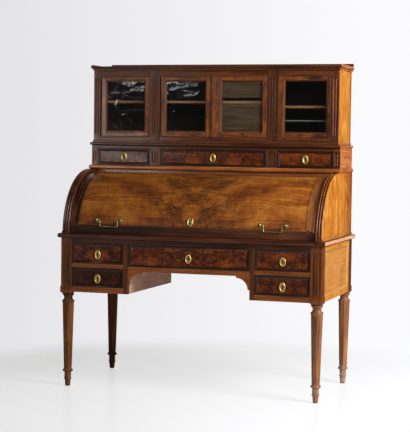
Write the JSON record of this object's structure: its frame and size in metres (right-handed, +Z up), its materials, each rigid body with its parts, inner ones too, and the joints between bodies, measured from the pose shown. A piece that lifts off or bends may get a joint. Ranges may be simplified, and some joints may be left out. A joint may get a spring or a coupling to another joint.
{
  "type": "cylinder desk",
  "caption": "Kneehole writing desk on fluted turned legs, with a cylinder front that swings back over a pull-out slide, small drawers and a glazed cabinet above.",
  "frame": {"origin": "on the floor under the middle of the desk's width and depth", "axes": "+Z up, the front with the cylinder and drawers faces -Y, +X to the right of someone facing the front"},
  "size_m": [1.392, 0.703, 1.674],
  "materials": {
    "walnut": "polished",
    "burr_walnut": "polished burr veneer",
    "figured_walnut": "polished figured veneer",
    "oak": "bare planed",
    "brass": "aged polished",
    "steel": "oiled",
    "glass": "clear old sheet",
    "leather": "tooled"
  },
  "bodies": {
    "carcass": {"leg_front_left": "walnut", "leg_front_right": "walnut", "leg_back_left": "walnut", "leg_back_right": "walnut", "base_front_frame": "walnut", "base_left_side": "walnut", "base_right_side": "walnut", "base_back_panels": "oak", "pedestal_inner_sides": "oak", "kneehole_brackets": "walnut", "drawer_runners": "oak", "desk_bed": "oak", "desk_edge_moulding": "walnut", "cheek_left": "walnut", "cheek_right": "walnut", "upper_back_boards": "oak", "pivot_pins": "steel", "pigeonhole_case": "walnut", "cylinder_top_board": "walnut", "small_drawer_case": "walnut", "cabinet_base_moulding": "walnut", "cabinet_sides": "walnut", "cabinet_front_frame": "walnut", "cabinet_cornice": "walnut", "gallery_rail": "walnut", "cabinet_shelves": "walnut"},
    "cylinder": {"cylinder_core": "oak", "cylinder_facing": "figured_walnut", "cylinder_arms": "oak", "cylinder_brass": "brass"},
    "bail_left": {"bail_left": "brass"},
    "bail_right": {"bail_right": "brass"},
    "writing_slide": {"writing_slide": "walnut", "writing_leather": "leather"},
    "drawer_upper_left": {"drawer_upper_left": "burr_walnut", "lock_upper_left": "brass"},
    "drawer_lower_left": {"drawer_lower_left": "burr_walnut", "lock_lower_left": "brass"},
    "drawer_centre": {"drawer_centre": "burr_walnut", "lock_centre": "brass"},
    "drawer_upper_right": {"drawer_upper_right": "burr_walnut", "lock_upper_right": "brass"},
    "drawer_lower_right": {"drawer_lower_right": "burr_walnut", "lock_lower_right": "brass"},
    "small_drawer_left": {"small_drawer_left": "burr_walnut", "small_lock_left": "brass"},
    "small_drawer_centre": {"small_drawer_centre": "burr_walnut", "small_lock_centre": "brass"},
    "small_drawer_right": {"small_drawer_right": "burr_walnut", "small_lock_right": "brass"},
    "pigeonhole_drawer_left": {"pigeonhole_drawer_left": "walnut"},
    "pigeonhole_drawer_right": {"pigeonhole_drawer_right": "walnut"},
    "door_outer_left": {"door_outer_left": "walnut", "glass_outer_left": "glass"},
    "door_inner_left": {"door_inner_left": "walnut", "glass_inner_left": "glass"},
    "door_inner_right": {"door_inner_right": "walnut", "glass_inner_right": "glass"},
    "door_outer_right": {"door_outer_right": "walnut", "glass_outer_right": "glass"}
  },
  "joints": [
    {"name": "cylinder_roll", "type": "hinge", "parent": "carcass", "child": "cylinder", "pos_m": [0, -0.0145, 0.787], "axis": [-1, 0, 0], "range_deg": [0, 73]},
    {"name": "bail_left_swing", "type": "hinge", "parent": "cylinder", "child": "bail_left", "pos_m": [-0.428, -0.3247, 0.857], "axis": [-1, 0, 0], "range_deg": [0, 60]},
    {"name": "bail_right_swing", "type": "hinge", "parent": "cylinder", "child": "bail_right", "pos_m": [0.428, -0.3247, 0.857], "axis": [-1, 0, 0], "range_deg": [0, 60]},
    {"name": "writing_slide_pull", "type": "slide", "parent": "carcass", "child": "writing_slide", "axis": [0, -1, 0], "range_m": [0, 0.24]},
    {"name": "drawer_upper_left_pull", "type": "slide", "parent": "carcass", "child": "drawer_upper_left", "axis": [0, -1, 0], "range_m": [0, 0.4]},
    {"name": "drawer_lower_left_pull", "type": "slide", "parent": "carcass", "child": "drawer_lower_left", "axis": [0, -1, 0], "range_m": [0, 0.4]},
    {"name": "drawer_centre_pull", "type": "slide", "parent": "carcass", "child": "drawer_centre", "axis": [0, -1, 0], "range_m": [0, 0.4]},
    {"name": "drawer_upper_right_pull", "type": "slide", "parent": "carcass", "child": "drawer_upper_right", "axis": [0, -1, 0], "range_m": [0, 0.4]},
    {"name": "drawer_lower_right_pull", "type": "slide", "parent": "carcass", "child": "drawer_lower_right", "axis": [0, -1, 0], "range_m": [0, 0.4]},
    {"name": "small_drawer_left_pull", "type": "slide", "parent": "carcass", "child": "small_drawer_left", "axis": [0, -1, 0], "range_m": [0, 0.18]},
    {"name": "small_drawer_centre_pull", "type": "slide", "parent": "carcass", "child": "small_drawer_centre", "axis": [0, -1, 0], "range_m": [0, 0.18]},
    {"name": "small_drawer_right_pull", "type": "slide", "parent": "carcass", "child": "small_drawer_right", "axis": [0, -1, 0], "range_m": [0, 0.18]},
    {"name": "pigeonhole_drawer_left_pull", "type": "slide", "parent": "carcass", "child": "pigeonhole_drawer_left", "axis": [0, -1, 0], "range_m": [0, 0.1]},
    {"name": "pigeonhole_drawer_right_pull", "type": "slide", "parent": "carcass", "child": "pigeonhole_drawer_right", "axis": [0, -1, 0], "range_m": [0, 0.1]},
    {"name": "door_outer_left_hinge", "type": "hinge", "parent": "carcass", "child": "door_outer_left", "pos_m": [-0.618, 0.0505, 1.44], "axis": [0, 0, -1], "range_deg": [0, 90]},
    {"name": "door_inner_left_hinge", "type": "hinge", "parent": "carcass", "child": "door_inner_left", "pos_m": [-0.284, 0.0505, 1.44], "axis": [0, 0, -1], "range_deg": [0, 90]},
    {"name": "door_inner_right_hinge", "type": "hinge", "parent": "carcass", "child": "door_inner_right", "pos_m": [0.284, 0.0505, 1.44], "axis": [0, 0, 1], "range_deg": [0, 90]},
    {"name": "door_outer_right_hinge", "type": "hinge", "parent": "carcass", "child": "door_outer_right", "pos_m": [0.618, 0.0505, 1.44], "axis": [0, 0, 1], "range_deg": [0, 90]}
  ]
}
